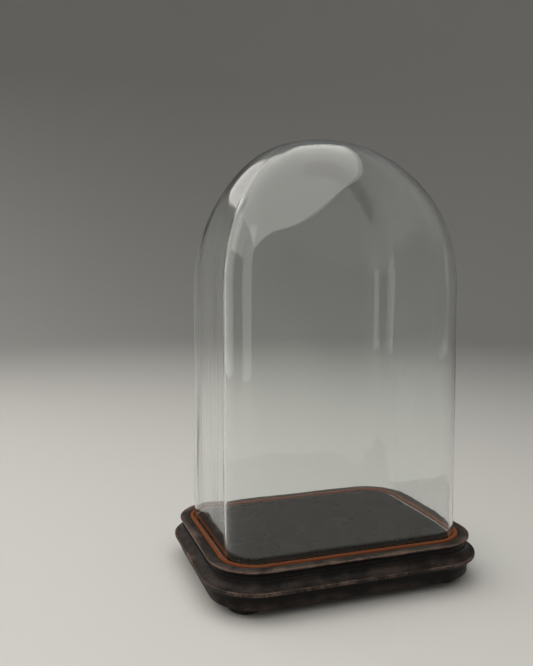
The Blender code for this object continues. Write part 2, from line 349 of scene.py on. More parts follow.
# %% Node group: dust
dust, inner, result = start_group(
    "dust",
    [("Vector", "Vector", None), ("Film", "Float", 0.2), ("Specks", "Float", 0.7)],
    [("Mask", "Float")],
)
normal = add(dust, "NewGeometry").outputs["Normal"]
upward = stretch(dust, add(dust, "SeparateXYZ", {0: normal}).outputs["Z"], 0.35, 0.95)
film = calculate(dust, "MULTIPLY", speckle(dust, inner["Vector"], 70.0, 6.0, 0.7), inner["Film"])
cells = add(dust, "TexVoronoi", {"Vector": inner["Vector"], "Scale": 190.0})
spots = stretch(dust, cells.outputs["Distance"], 0.13, 0.06)
cell_number = add(dust, "SeparateColor", {0: cells.outputs["Color"]}).outputs[0]
chosen = stretch(dust, cell_number, 0.86, 0.93)
spots = calculate(dust, "MULTIPLY", calculate(dust, "MULTIPLY", spots, chosen), inner["Specks"])
lying = calculate(dust, "MULTIPLY", calculate(dust, "MAXIMUM", film, spots), upward)
dust.links.new(lying, result["Mask"])
print("dust has", len(dust.nodes), "nodes")

# %% [markdown]
# ## Scratches
# Fine scratches run in several directions. Noise that is drawn out very long and cut off high
# leaves thin broken lines, and three such layers, turned against each other, cross as real
# scratches do.

# %% Node group: scratches
scratches, inner, result = start_group("scratches", [("Vector", "Vector", None)], [("Mask", "Float")])
scratch_layers = ((18.0, (0.11, 0.37, 0.0)), (-34.0, (0.83, 0.29, 0.0)), (71.0, (0.47, 0.91, 0.0)))
lines = 0.0
for turn, shift in scratch_layers:
    turned_vector = add(
        scratches,
        "Mapping",
        {"Vector": inner["Vector"], "Location": shift, "Rotation": (0.0, 0.0, math.radians(turn))},
    ).outputs[0]
    drawn = add(scratches, "Mapping", {"Vector": turned_vector, "Scale": (26.0, 3600.0, 26.0)}).outputs[0]
    line = stretch(scratches, speckle(scratches, drawn, 1.0, 1.0), 0.72, 0.79)
    lines = calculate(scratches, "MAXIMUM", line, lines)
scratches.links.new(lines, result["Mask"])
print("scratches has", len(scratches.nodes), "nodes")

# %% [markdown]
# ## The two woods
# The boards and feet are ebonised and have lost much of their polish: brown shows through in a
# mottle and along the edges. The mottle follows the wear value, so the undercuts, where it is
# near zero, stay pure black as painted shade. The floor under the glass was protected, so it
# keeps its gloss, with fine scratches and a little dust. Both are built by one function from the
# same groups, and only the values differ.

# %% Ebonised wood and polished floor
scratch_colour = (0.09, 0.085, 0.08)
dust_colour = (0.30, 0.28, 0.25)


def make_wood(name, black, brown, bare, mottle_from, gloss, shine, scratch_share, film, specks, pore_depth):
    """A black-stained wood with mottle, grain, worn edges, scratches and dust."""
    material, tree, shader = start_material(name)
    vector = add(tree, "TexCoord").outputs["Object"]
    grain = add(tree, "Group", {"Vector": vector}, node_tree=wood_grain)
    wear_and_shade = add(tree, "Attribute", attribute_name="wear_and_shade").outputs["Fac"]
    worn = add(tree, "Group", {"Vector": vector, "Wear": wear_and_shade}, node_tree=edge_wear).outputs["Mask"]
    scratched = add(tree, "Group", {"Vector": vector}, node_tree=scratches).outputs["Mask"]
    dust_inputs = {"Vector": vector, "Film": film, "Specks": specks}
    dusty = add(tree, "Group", dust_inputs, node_tree=dust).outputs["Mask"]
    mottle = stretch(tree, speckle(tree, vector, 55.0, 7.0, 0.65), mottle_from, mottle_from + 0.22)
    streaky = calculate(tree, "MULTIPLY_ADD", grain.outputs["Grain"], 0.6, 0.4)
    mottle = calculate(tree, "MULTIPLY", mottle, streaky)
    # Painted shade: the mottle is kept off where the wear value is near zero, so the undercuts stay pure
    # black.
    mottle = calculate(tree, "MULTIPLY", mottle, stretch(tree, wear_and_shade, 0.0, 0.22))
    colour = blend_colours(tree, mottle, black, brown)
    colour = blend_colours(tree, worn, colour, bare)
    shade = calculate(tree, "MULTIPLY", grain.outputs["Pores"], 0.6)
    colour = blend_colours(tree, shade, colour, tuple(value * 0.4 for value in black))
    marked = calculate(tree, "MULTIPLY", scratched, scratch_share)
    colour = blend_colours(tree, marked, colour, scratch_colour)
    colour = blend_colours(tree, dusty, colour, dust_colour)
    rough = stretch(tree, speckle(tree, vector, 28.0, 5.0, 0.6), 0.3, 0.7, gloss, gloss + 0.14)
    rough = calculate(tree, "ADD", rough, calculate(tree, "MULTIPLY", worn, 0.22))
    rough = calculate(tree, "ADD", rough, calculate(tree, "MULTIPLY", dusty, 0.5))
    height = calculate(tree, "ADD", grain.outputs["Pores"], calculate(tree, "MULTIPLY", worn, 0.7))
    height = calculate(tree, "ADD", height, calculate(tree, "MULTIPLY", scratched, 0.25))
    relief = {"Height": height, "Strength": 0.6, "Distance": pore_depth}
    bump = add(tree, "Bump", relief, invert=True).outputs["Normal"]
    look = {"Base Color": colour, "Roughness": rough, "Normal": bump, "Specular IOR Level": shine}
    fill(tree, shader, look)
    return material


ebonised_wood = make_wood(
    "ebonised_wood",
    black=(0.0072, 0.0060, 0.0056),
    brown=(0.048, 0.034, 0.028),
    bare=(0.150, 0.100, 0.080),
    mottle_from=0.40,
    gloss=0.42,
    shine=0.12,
    scratch_share=0.18,
    film=0.05,
    specks=0.4,
    pore_depth=0.10 * MM,
)
floor_polish = make_wood(
    "floor_polish",
    black=(0.0060, 0.0060, 0.0056),
    brown=(0.016, 0.0140, 0.0120),
    bare=(0.060, 0.044, 0.036),
    mottle_from=0.44,
    gloss=0.18,
    shine=0.02,
    scratch_share=0.45,
    film=0.02,
    specks=0.8,
    pore_depth=0.003 * MM,
)
print("woods:", ebonised_wood.name, floor_polish.name)

# %% [markdown]
# ## One outline for everything
# The foot of the glass is a rounded rectangle, and every other outline of the stand is the same
# shape, grown or shrunk by an even margin. So a board's edge needs only a profile: a list of
# margins past the glass with their heights, from the top down. A third number on each point says
# how worn the wood is there; it is kept near zero in the undercuts, which leaves them black as
# painted shade.

# %% Outlines and moulded edges
dome_length = 234.6 * MM
dome_width = 170.4 * MM
dome_corner = 30.0 * MM
rub_scale = 55.0


def outline(margin, arc_steps=36, long_steps=56, short_steps=36):
    """Plan points of the glass's foot grown by a margin, anticlockwise from its back right corner."""
    corner = dome_corner + margin
    half_x = dome_length / 2 + margin - corner
    half_y = dome_width / 2 + margin - corner
    points = []
    for quarter in range(4):
        side_x = 1 if quarter in (0, 3) else -1
        side_y = 1 if quarter in (0, 1) else -1
        for step in range(arc_steps + 1):
            angle = (quarter + step / arc_steps) * math.pi / 2
            x = side_x * half_x + corner * math.cos(angle)
            y = side_y * half_y + corner * math.sin(angle)
            points.append((x, y))
        steps = long_steps if quarter in (0, 2) else short_steps
        run = 2 * (half_x if quarter in (0, 2) else half_y)
        start_x, start_y = points[-1]
        heading_x = (-1, 0, 1, 0)[quarter]
        heading_y = (0, -1, 0, 1)[quarter]
        for step in range(1, steps):
            way = run * step / steps
            points.append((start_x + way * heading_x, start_y + way * heading_y))
    return np.array(points)


def rounded(start, end, level_first, wear_and_shade, steps=10):
    """Profile points round an edge, with the value of wear and painted shade at its start, middle and end.
    """
    points = []
    for step in range(steps + 1):
        share = step / steps
        angle = share * math.pi / 2
        across, up = math.sin(angle), 1 - math.cos(angle)
        if not level_first:
            across, up = up, across
        margin = start[0] + (end[0] - start[0]) * across
        height = start[1] + (end[1] - start[1]) * up
        points.append((margin, height, float(np.interp(share, (0.0, 0.5, 1.0), wear_and_shade))))
    return points


def moulded(name, profile, level, unevenness):
    """A board with a profile in mm; worn edges are uneven by some mm, as if rubbed by hand."""
    rings = []
    wear_and_shade = []
    for margin, height, value in profile:
        plan = outline(margin * MM)
        past = outline(margin * MM + MM)
        outward = (past - plan) / MM
        places = [Vector((x, y, level + height * MM)) for x, y in plan]
        rubbed = [noise.fractal(point * rub_scale, 1.0, 2.0, 3) for point in places]
        offset = -unevenness * MM * value * np.abs(np.array(rubbed))
        plan = plan + outward * offset[:, None]
        rings.append(np.column_stack((plan, np.full(len(plan), level + height * MM))))
        wear_and_shade.append(np.full(len(plan), value))
    mesh = skin(name, rings, "fill")
    paint(mesh, "wear_and_shade", np.concatenate(wear_and_shade))
    return mesh


print("outline points:", len(outline(0.0)))

# %% [markdown]
# ## The top board
# The upper tier is a shallow tray for the display floor, the glass and the cord. Its ledge ends
# in a thin lip, and a cove cuts back under the lip so that it throws a black shadow. The lip is
# the most rubbed edge of the stand: in the photograph it is a pale brown line all round, partly
# worn wood and partly the light that the lip catches, so its high wear value paints worn wood
# and a painted highlight together. The pilot holes for the screws are cut with Boolean modifiers
# that are applied at once, so that the mesh is final.

# %% Top board
board_level = 36.5 * MM
board_profile = [(-6.0, 5.1, 0.0), (5.6, 5.1, 0.0)]
board_profile += rounded((5.6, 8.2), (6.0, 8.6), False, (0.15, 0.55, 0.25), 4)
board_profile += [(8.5, 8.6, 0.44), (11.0, 8.6, 0.54), (13.2, 8.6, 0.64)]
# The high wear along the top of the lip paints worn wood and, in part, a painted highlight.
board_profile += rounded((14.5, 8.6), (15.2, 7.9), True, (0.62, 0.92, 0.80), 8)
board_profile += rounded((15.2, 7.1), (14.5, 6.4), False, (0.60, 0.35, 0.05), 8)
# Painted shade: near-zero wear keeps the cove under the lip pure black.
board_profile += rounded((14.5, 6.4), (11.6, 0.6), True, (0.05, 0.0, 0.05), 16)[1:]
board_profile += [(11.6, 0.0, 0.0), (5.0, 0.0, 0.0)]

screw_places = [(x * MM, y * MM) for y in (-61.4, 61.4) for x in (-76.5, 0.0, 76.5)]
pilot_hole = ((2.1, 30.0), (2.1, 39.9))
double_point_reach = 0.002 * MM


def drill(item, profile, places, steps=40):
    """Cuts a turned hole, given as (radius, height) in mm, into an object at each place."""
    rings = [circle(radius * MM, height * MM, steps) for radius, height in profile]
    cutters = []
    for x, y in places:
        cutter = place("drill", skin("drill", rings, "fill"), None, (x, y, 0.0))
        cut = item.modifiers.new("hole", "BOOLEAN")
        cut.object = cutter
        cutters.append(cutter)
    apply_modifiers(item)
    for cutter in cutters:
        bpy.data.objects.remove(cutter)


def apply_modifiers(item):
    """Keeps the object as its modifiers leave it, and joins points that a cut has left double."""
    bpy.context.view_layer.update()
    shaped = item.evaluated_get(bpy.context.evaluated_depsgraph_get())
    mesh = bpy.data.meshes.new_from_object(shaped)
    work = bmesh.new()
    work.from_mesh(mesh)
    bmesh.ops.remove_doubles(work, verts=work.verts, dist=double_point_reach)
    work.to_mesh(mesh)
    work.free()
    item.modifiers.clear()
    item.data = mesh
    mesh.set_sharp_from_angle(angle=sharp_angle)


board_mesh = moulded("lipped_board", board_profile, board_level, unevenness=0.25)
top_board = place("lipped_board", board_mesh, ebonised_wood)
drill(top_board, pilot_hole, screw_places)
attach(top_board, "stand")
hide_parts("top_board")
print("lipped_board faces:", len(top_board.data.polygons))

# %% [markdown]
# ## The plinth
# Below it the lower tier sweeps out in a cove to a rounded nose, and a second cove undercuts the
# nose. The nose catches both light and knocks. Underneath are the sockets of the feet and the
# countersunk screw holes.

# %% Plinth
plinth_level = 9.8 * MM
plinth_profile = [(4.0, 26.4, 0.0), (12.3, 26.4, 0.10), (12.6, 26.1, 0.15)]
plinth_profile += rounded((12.6, 25.6), (20.2, 18.8), False, (0.03, 0.26, 0.50), 26)
plinth_profile += rounded((20.2, 18.8), (21.2, 17.8), True, (0.50, 0.68, 0.55), 8)[1:]
plinth_profile += rounded((21.2, 16.2), (20.2, 15.2), False, (0.60, 0.40, 0.08), 8)
# Painted shade: near-zero wear keeps the cove under the nose pure black.
plinth_profile += rounded((20.2, 15.2), (14.0, 8.0), True, (0.05, 0.0, 0.05), 18)[1:]
plinth_profile += [(14.0, 5.0, 0.12)]
plinth_profile += rounded((14.0, 1.2), (12.8, 0.0), False, (0.25, 0.35, 0.10), 6)
plinth_profile += [(7.0, 0.0, 0.0)]

foot_places = {
    "front_left": (-100.5 * MM, -68.4 * MM),
    "front_right": (100.5 * MM, -68.4 * MM),
    "back_left": (-100.5 * MM, 68.4 * MM),
    "back_right": (100.5 * MM, 68.4 * MM),
}

screw_hole = ((4.0, 5.0), (4.0, 11.3), (2.1, 13.5), (2.1, 40.0))
foot_socket = ((6.3, 5.0), (6.3, 19.8))

plinth_mesh = moulded("moulded_plinth", plinth_profile, plinth_level, unevenness=0.30)
plinth = place("moulded_plinth", plinth_mesh, ebonised_wood)
drill(plinth, screw_hole, screw_places)
drill(plinth, foot_socket, foot_places.values())
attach(plinth, "stand")
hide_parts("plinth")
print("moulded_plinth faces:", len(plinth.data.polygons))

# %% [markdown]
# ## The feet
# Four flattened buns, turned on a lathe and let into the plinth by a spigot. A stack of circles
# gives the turned shape, and a shallow ring at the belly is left from the turning.

# %% Bun feet
foot_profile = [(0.0, 19.5, 0.0), (5.7, 19.5, 0.0), (6.0, 19.2, 0.0)]
foot_profile += [(6.0, 9.6, 0.0), (10.6, 9.6, 0.1)]
foot_profile += rounded((11.0, 9.5), (17.0, 4.9), True, (0.12, 0.20, 0.55), 18)
foot_profile += [(16.85, 4.75, 0.3)]
foot_profile += rounded((17.0, 4.6), (11.4, 0.2), False, (0.55, 0.25, 0.30), 18)
foot_profile += [(11.0, 0.0, 0.5), (0.0, 0.0, 0.2)]
foot_steps = 72


def turned(name, profile):
    """A turned mesh about Z from a profile of (radius, height, wear and painted shade value) in mm."""
    rings = []
    wear_and_shade = []
    for radius, height, value in profile:
        ring = circle(radius * MM, height * MM, foot_steps if radius else 1)
        rings.append(ring)
        wear_and_shade.append(np.full(len(ring), value))
    mesh = skin(name, rings)
    paint(mesh, "wear_and_shade", np.concatenate(wear_and_shade))
    return mesh


for corner_name, (x, y) in foot_places.items():
    foot_mesh = turned("bun_" + corner_name, foot_profile)
    foot = place("bun_" + corner_name, foot_mesh, ebonised_wood, (x, y, 0.0))
    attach(foot, "stand")
    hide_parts("foot_" + corner_name)
print("feet:", len(foot_places), "with", len(foot.data.polygons), "faces each")

# %% [markdown]
# ## The display floor
# A thin polished board fills the foot of the dome, with a narrow gap to the glass. It is flat, so
# almost all of its look is in its finish.

# %% Display floor
floor_level = 41.9 * MM
floor_profile = [(-30.0, 3.2, 0.08), (-9.0, 3.2, 0.08), (-7.0, 3.2, 0.12)]
floor_profile += rounded((-5.8, 3.2), (-5.0, 2.4), True, (0.25, 0.7, 0.4), 8)
floor_profile += [(-5.0, 0.0, 0.1), (-29.0, 0.0, 0.0)]

floor_mesh = moulded("polished_floor", floor_profile, floor_level, unevenness=0.1)
display_floor = place("polished_floor", floor_mesh, floor_polish)
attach(display_floor, "stand")
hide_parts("display_floor")
print("polished_floor faces:", len(display_floor.data.polygons))

# %% [markdown]
# ## Pile
# Chenille is a cord with short cut pile standing out all round it. Blender's hair would look
# right, but it isn't a mesh that can be handed on. So each tuft is a thin three-sided spike, and
# a few tens of thousands of them are made at once with arrays. The random numbers are seeded, so
# that every run gives the same pile.

# %% Spikes for pile


def spikes(roots, tips, half_width):
    """Points and faces of one thin closed spike from each root to each tip."""
    along = tips - roots
    along /= np.linalg.norm(along, axis=1)[:, None]
    helper = np.where(np.abs(along[:, 2:3]) > 0.8, (1.0, 0.0, 0.0), (0.0, 0.0, 1.0))
    side = np.cross(along, helper)
    side /= np.linalg.norm(side, axis=1)[:, None]
    other = np.cross(along, side)
    corners = []
    for third in range(3):
        angle = third * 2 * math.pi / 3
        corners.append(roots + half_width * (math.cos(angle) * side + math.sin(angle) * other))
    points = np.stack((*corners, tips), axis=1).reshape(-1, 3)
    first = 4 * np.arange(len(roots))
    pattern = np.array(((0, 1, 3), (1, 2, 3), (2, 0, 3), (0, 2, 1)))
    faces = (first[:, None, None] + pattern[None]).reshape(-1, 3)
    return points, faces


def pile_mesh(name, body, body_tip, roots, tips, half_width, tones):
    """Joins a body and its spikes in a new mesh, and removes the body; "tip" is 1 at the pile's ends."""
    body_points = np.array([vertex.co for vertex in body.vertices])
    body_faces = [list(face.vertices) for face in body.polygons]
    points, faces = spikes(roots, tips, half_width)
    faces = faces + len(body_points)
    mesh = bpy.data.meshes.new(name)
    mesh.from_pydata(np.vstack((body_points, points)).tolist(), [], [*body_faces, *faces.tolist()])
    mesh.shade_smooth()
    spike_tip = np.tile((0.25, 0.25, 0.25, 1.0), len(roots))
    tip_values = np.concatenate((np.full(len(body_points), body_tip), spike_tip))
    tone_values = np.concatenate((np.full(len(body_points), 0.5), np.repeat(tones, 4)))
    paint(mesh, "tip", tip_values)
    paint(mesh, "tone", tone_values)
    bpy.data.meshes.remove(body)
    return mesh


print("a spike has", len(spikes(np.zeros((1, 3)), np.ones((1, 3)), MM)[1]), "faces")

# %% [markdown]
# ## Rust wool
# The cord and the felt are two shades of one faded rust, with patches that have gone brown.
# Down in the pile the red-brown is darkened as painted shade, and at the tips it turns a dusty
# orange as a painted highlight. The two materials share one function and differ in their colours.

# %% Rust chenille and felt
lint_colour = (0.30, 0.26, 0.21)


def make_wool(name, pile_shade, middle, tip_highlight, faded):
    """A matt pile with painted shade down in it, a painted highlight at its tips that each tuft's own tone
    scales, and patches of fading.
    """
    material, tree, shader = start_material(name)
    vector = add(tree, "TexCoord").outputs["Object"]
    tip = add(tree, "Attribute", attribute_name="tip").outputs["Fac"]
    tone = add(tree, "Attribute", attribute_name="tone").outputs["Fac"]
    # Painted shade: the colour darkens towards the roots of the pile.
    colour = blend_colours(tree, stretch(tree, tip, 0.0, 0.7), pile_shade, middle)
    # Painted highlight: the tips turn bright orange, more on some tufts than on others.
    lit = calculate(tree, "MULTIPLY", stretch(tree, tip, 0.45, 1.0), stretch(tree, tone, 0.2, 1.0))
    colour = blend_colours(tree, lit, colour, tip_highlight)
    fading = stretch(tree, speckle(tree, vector, 48.0, 5.0, 0.6), 0.46, 0.68, 0.0, 0.75)
    colour = blend_colours(tree, fading, colour, faded)
    dust_inputs = {"Vector": vector, "Film": 0.06, "Specks": 0.25}
    dusty = add(tree, "Group", dust_inputs, node_tree=dust).outputs["Mask"]
    colour = blend_colours(tree, dusty, colour, lint_colour)
    fuzz = speckle(tree, vector, 2600.0, 2.0)
    relief = {"Height": fuzz, "Strength": 0.5, "Distance": 0.15 * MM}
    bump = add(tree, "Bump", relief).outputs["Normal"]
    look = {"Base Color": colour, "Roughness": 0.92, "Normal": bump, "Specular IOR Level": 0.2}
    sheen = {"Sheen Weight": 0.10, "Sheen Roughness": 0.5, "Sheen Tint": (0.9, 0.55, 0.35, 1.0)}
    fill(tree, shader, {**look, **sheen})
    return material


rust_chenille = make_wool(
    "rust_chenille",
    pile_shade=(0.085, 0.018, 0.005),
    middle=(0.210, 0.055, 0.014),
    tip_highlight=(0.400, 0.135, 0.036),
    faded=(0.150, 0.056, 0.020),
)
rust_felt = make_wool(
    "rust_felt",
    pile_shade=(0.100, 0.028, 0.011),
    middle=(0.160, 0.046, 0.018),
    tip_highlight=(0.220, 0.075, 0.030),
    faded=(0.095, 0.040, 0.020),
)
print("wools:", rust_chenille.name, rust_felt.name)

# %% [markdown]
# ## The chenille cord
# The cord lies in the tray, in the groove between the ledge and the glass, and its two ends butt
# at the back. A soft tube with a lazy twist is the body, and the pile stands out from it. Where
# it meets the board or the glass it is pressed flat, so the dome still lifts straight off.

# %% Chenille cord
tray_level = 41.6 * MM
cord_offset = 2.8 * MM
cord_level = 44.4 * MM
glass_clearance = 0.14 * MM
tray_clearance = 0.05 * MM
cord_end_gap = 0.5 * MM
cord_step = 0.9 * MM
cord_sides = 18
core_radius = 1.95 * MM
pile_root = 1.4 * MM
pile_radius = 2.45 * MM
pile_limit = 2.72 * MM
twist_pitch = 6.0 * MM
twist_depth = 0.06
lump_depth = 0.08
lump_scale = 900.0
tuft_count = 30000
tuft_half_width = 0.13 * MM
tuft_spread = 0.13 * MM
tuft_twist = 0.12 * MM
tuft_lean = 0.45 * MM
tuft_turn = 0.16
pile_from = math.radians(-42.0)
pile_to = math.radians(205.0)

route_arc_steps = 80
route = outline(cord_offset, arc_steps=route_arc_steps, long_steps=2, short_steps=2)
back_middle = route_arc_steps + 1
route = np.vstack((route[back_middle:], route[: back_middle + 1]))
route_way = np.concatenate(((0.0,), np.cumsum(np.linalg.norm(np.diff(route, axis=0), axis=1))))
cord_length = route_way[-1] - cord_end_gap


def along_cord(way):
    """Plan points at distances along the cord, and the directions that point away from the glass there."""
    way = np.asarray(way) + cord_end_gap / 2
    here = np.column_stack([np.interp(way, route_way, route[:, axis]) for axis in (0, 1)])
    reach = 0.5 * MM
    ahead = np.column_stack([np.interp(way + reach, route_way, route[:, axis]) for axis in (0, 1)])
    behind = np.column_stack([np.interp(way - reach, route_way, route[:, axis]) for axis in (0, 1)])
    heading = ahead - behind
    heading /= np.linalg.norm(heading, axis=1)[:, None]
    return here, np.column_stack((heading[:, 1], -heading[:, 0]))


def round_cord(way, angle, radius):
    """Points at an angle and radius round the cord, pressed flat against the glass and the board."""
    here, outward = along_cord(way)
    across = np.maximum(radius * np.cos(angle), glass_clearance - cord_offset)
    height = np.maximum(cord_level + radius * np.sin(angle), tray_level + tray_clearance)
    return np.column_stack((here + outward * across[:, None], height))


rings = []
angles = np.arange(cord_sides) * 2 * math.pi / cord_sides
for way in np.linspace(0.0, cord_length, int(cord_length / cord_step)):
    twist = np.cos(2 * angles - 2 * math.pi * way / twist_pitch)
    places = [Vector((way * lump_scale, math.cos(angle) * 2.0, math.sin(angle) * 2.0)) for angle in angles]
    lumps = np.array([noise.noise(point) for point in places])
    radius = core_radius * (1 + twist_depth * twist + lump_depth * lumps)
    rings.append(round_cord(np.full(cord_sides, way), angles, radius))
core = skin("core", rings, "fill")

chance = np.random.default_rng(31)
tuft_way = chance.uniform(0.0, cord_length, tuft_count)
tuft_angle = chance.uniform(pile_from, pile_to, tuft_count)
tuft_reach = pile_radius + chance.normal(0.0, tuft_spread, tuft_count)
tuft_reach += tuft_twist * np.cos(2 * tuft_angle - 2 * math.pi * tuft_way / twist_pitch)
tuft_reach = np.minimum(tuft_reach, pile_limit)
lean_along = chance.normal(0.0, tuft_lean, tuft_count)
lean_round = chance.normal(0.0, tuft_turn, tuft_count)
tuft_roots = round_cord(tuft_way, tuft_angle, pile_root)
tip_way = np.clip(tuft_way + lean_along, 0.0, cord_length)
tuft_tips = round_cord(tip_way, tuft_angle + lean_round, tuft_reach)
plush = pile_mesh(
    "chenille_plush",
    body=core,
    body_tip=0.3,
    roots=tuft_roots,
    tips=tuft_tips,
    half_width=tuft_half_width,
    tones=chance.uniform(0.0, 1.0, tuft_count),
)
chenille = place("chenille_plush", plush, rust_chenille)
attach(chenille, "stand")
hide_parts("chenille_cord")
print("cord length in mm:", round(cord_length / MM, 1), "faces:", len(plush.polygons))

# %% [markdown]
# ## The felt under the rim
# A flat felt ring keeps the ground rim of the glass off the wood. It shows when the dome is
# lifted, so it has a slightly uneven surface and a thin nap of its own.

# %% Felt ring
felt_level = 41.9 * MM
felt_section = [(-4.70, 0.0), (-0.05, 0.0), (0.0, 0.15), (0.0, 0.85), (-0.15, 1.0), (-0.8, 1.04)]
felt_section += [(-1.6, 1.0), (-2.4, 1.0), (-3.2, 1.04), (-4.0, 1.02), (-4.55, 0.98), (-4.70, 0.8)]
felt_unevenness = 0.09 * MM
nap_count = 9000
nap_half_width = 0.07 * MM
nap_root = 0.93 * MM
nap_least = 0.10 * MM
nap_most = 0.24 * MM
nap_spread = 0.35 * MM

rings = []
for margin, height in felt_section:
    plan = outline(margin * MM, arc_steps=30, long_steps=60, short_steps=40)
    unevenness = np.array([noise.noise(Vector((x, y, margin)) * 260.0) for x, y in plan])
    level = felt_level + height * MM + (felt_unevenness * unevenness if height > 0.5 else 0.0)
    rings.append(np.column_stack((plan, np.broadcast_to(level, len(plan)))))
felt_body = skin("felt_body", rings, "join")

inner_plan = outline(-4.6 * MM, arc_steps=200, long_steps=400, short_steps=280)
outer_plan = outline(-0.1 * MM, arc_steps=200, long_steps=400, short_steps=280)
pick = chance.integers(0, len(inner_plan), nap_count)
share = chance.uniform(0.0, 1.0, nap_count)[:, None]
nap_plan = inner_plan[pick] * (1 - share) + outer_plan[pick] * share
nap_roots = np.column_stack((nap_plan, np.full(nap_count, felt_level + nap_root)))
nap_lean = chance.normal(0.0, nap_spread, (nap_count, 2))
nap_rise = chance.uniform(nap_least, nap_most, nap_count)
nap_tips = nap_roots + np.column_stack((nap_lean, nap_rise))
felt_mesh = pile_mesh(
    "felt_ring",
    body=felt_body,
    body_tip=0.5,
    roots=nap_roots,
    tips=nap_tips,
    half_width=nap_half_width,
    tones=chance.uniform(0.0, 1.0, nap_count),
)
felt = place("felt_ring", felt_mesh, rust_felt)
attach(felt, "stand")
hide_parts("rim_felt")
print("felt_ring faces:", len(felt.data.polygons))

# %% [markdown]
# ## Steel screws
# Six countersunk wood screws hold the two tiers together from below. Only the slotted heads show,
# in their holes. The thread is a ring whose radius rises and falls along a helix, so it needs no
# Screw modifier.

# %% Screws
screw_face = 11.3 * MM
# The screw's own sizes stay in mm until its rings are scaled
screw_length = 28.3
screw_steps = 32
thread_from = 10.0
thread_pitch = 1.7
thread_low = 1.35
thread_high = 1.8
head_heights = (0.0, 0.15, 2.2)
head_radii = (3.6, 3.7, thread_high)
slot_size = (9.0 * MM, 1.0 * MM, 2.0 * MM)

steel, steel_tree, steel_shader = start_material("screw_steel")
steel_vector = add(steel_tree, "TexCoord").outputs["Object"]
rust_inputs = {"Vector": steel_vector, "Wear": 0.42}
steel_wear = add(steel_tree, "Group", rust_inputs, node_tree=edge_wear).outputs["Mask"]
steel_lines = add(steel_tree, "Group", {"Vector": steel_vector}, node_tree=scratches).outputs["Mask"]
steel_colour = blend_colours(steel_tree, steel_wear, (0.30, 0.285, 0.265), (0.15, 0.085, 0.05))
steel_rough = calculate(steel_tree, "MULTIPLY_ADD", steel_wear, 0.35, 0.34)
steel_relief = {"Height": steel_lines, "Strength": 0.4, "Distance": 0.05 * MM}
steel_bump = add(steel_tree, "Bump", steel_relief, invert=True).outputs["Normal"]
steel_look = {"Base Color": steel_colour, "Roughness": steel_rough, "Normal": steel_bump}
fill(steel_tree, steel_shader, {**steel_look, "Metallic": 1.0})

heights = [*head_heights, 5.0, thread_from - 1.0]
heights += list(np.arange(thread_from, screw_length - 0.4, thread_pitch / 6))
rings = [np.zeros((1, 3))]
angles = np.arange(screw_steps) * 2 * math.pi / screw_steps
for height in heights:
    ring = circle(1.0, height * MM, screw_steps)
    if height < thread_from:
        radius = np.full(screw_steps, np.interp(height, head_heights, head_radii))
    else:
        turn = (height / thread_pitch - angles / (2 * math.pi)) % 1.0
        radius = thread_low + (thread_high - thread_low) * np.maximum(0.0, 1 - 3 * np.abs(turn - 0.5))
        radius *= np.interp(height, (screw_length - 7.0, screw_length - 0.4), (1.0, 0.2))
    ring[:, :2] *= radius[:, None] * MM
    rings.append(ring)
rings.append(np.array([(0.0, 0.0, screw_length * MM)]))

slot_mesh = bpy.data.meshes.new("slot_cutter")
work = bmesh.new()
bmesh.ops.create_cube(work, size=1.0)
bmesh.ops.scale(work, vec=slot_size, verts=work.verts)
work.to_mesh(slot_mesh)
work.free()
slot_cutter = place("slot_cutter", slot_mesh, None)
screw_turns = (14.0, 63.0, 118.0, 37.0, 151.0, 92.0)
for number, ((x, y), turn) in enumerate(zip(screw_places, screw_turns), start=1):
    screw = place(f"wood_screw_{number}", skin(f"wood_screw_{number}", rings), steel)
    screw.modifiers.new("slot", "BOOLEAN").object = slot_cutter
    apply_modifiers(screw)
    screw.location = (x, y, screw_face)
    screw.rotation_euler = (0.0, 0.0, math.radians(turn))
    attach(screw, "stand")
    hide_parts(f"screw_{number}")
bpy.data.objects.remove(slot_cutter)
print("screws:", len(screw_turns), "with", len(screw.data.polygons), "faces each")

# %% [markdown]
# ## Blown glass
# Clear glass needs little: the Principled shader with full transmission. Three things make it
# look like an old blown dome. Its rim is ground, so it is rough there, its walls hold a faint
# haze from handling, and fine draw lines run up them and fade out on the crown. Lamps and the
# stand's own bounced light pass through it as if it weren't there, by a Light Path node, because
# refracted light would need many samples. Mirrored rays count as bounced once they have come much
# further than the glass is thick, so that both faces of a wall still mirror the room.

# %% Clear glass
far_for_a_wall = 20.0 * MM
glass_colour = (0.955, 0.972, 0.966, 1.0)

clear_glass, glass_tree, glass_shader = start_material("clear_glass")
glass_vector = add(glass_tree, "TexCoord").outputs["Object"]
ground = add(glass_tree, "Attribute", attribute_name="ground").outputs["Fac"]
haze = stretch(glass_tree, speckle(glass_tree, glass_vector, 24.0, 5.0, 0.65), 0.55, 0.80, 0.0, 0.035)
glass_rough = calculate(glass_tree, "ADD", haze, calculate(glass_tree, "MULTIPLY", ground, 0.45))
draw_lines = add(glass_tree, "Mapping", {"Vector": glass_vector, "Scale": (230.0, 230.0, 7.0)}).outputs[0]
draw_lines = speckle(glass_tree, draw_lines, 1.0, 2.0)
glass_normal = add(glass_tree, "NewGeometry").outputs["Normal"]
glass_facing = add(glass_tree, "SeparateXYZ", {0: glass_normal}).outputs["Z"]
upright = stretch(glass_tree, calculate(glass_tree, "ABSOLUTE", glass_facing), 0.35, 0.05)
draw_lines = calculate(glass_tree, "MULTIPLY", draw_lines, upright)
glass_relief = {"Height": draw_lines, "Strength": 0.5, "Distance": 0.13 * MM}
glass_bump = add(glass_tree, "Bump", glass_relief).outputs["Normal"]
glass_look = {"Base Color": glass_colour, "Roughness": glass_rough, "Normal": glass_bump}
fill(glass_tree, glass_shader, {**glass_look, "Transmission Weight": 1.0, "IOR": 1.5})
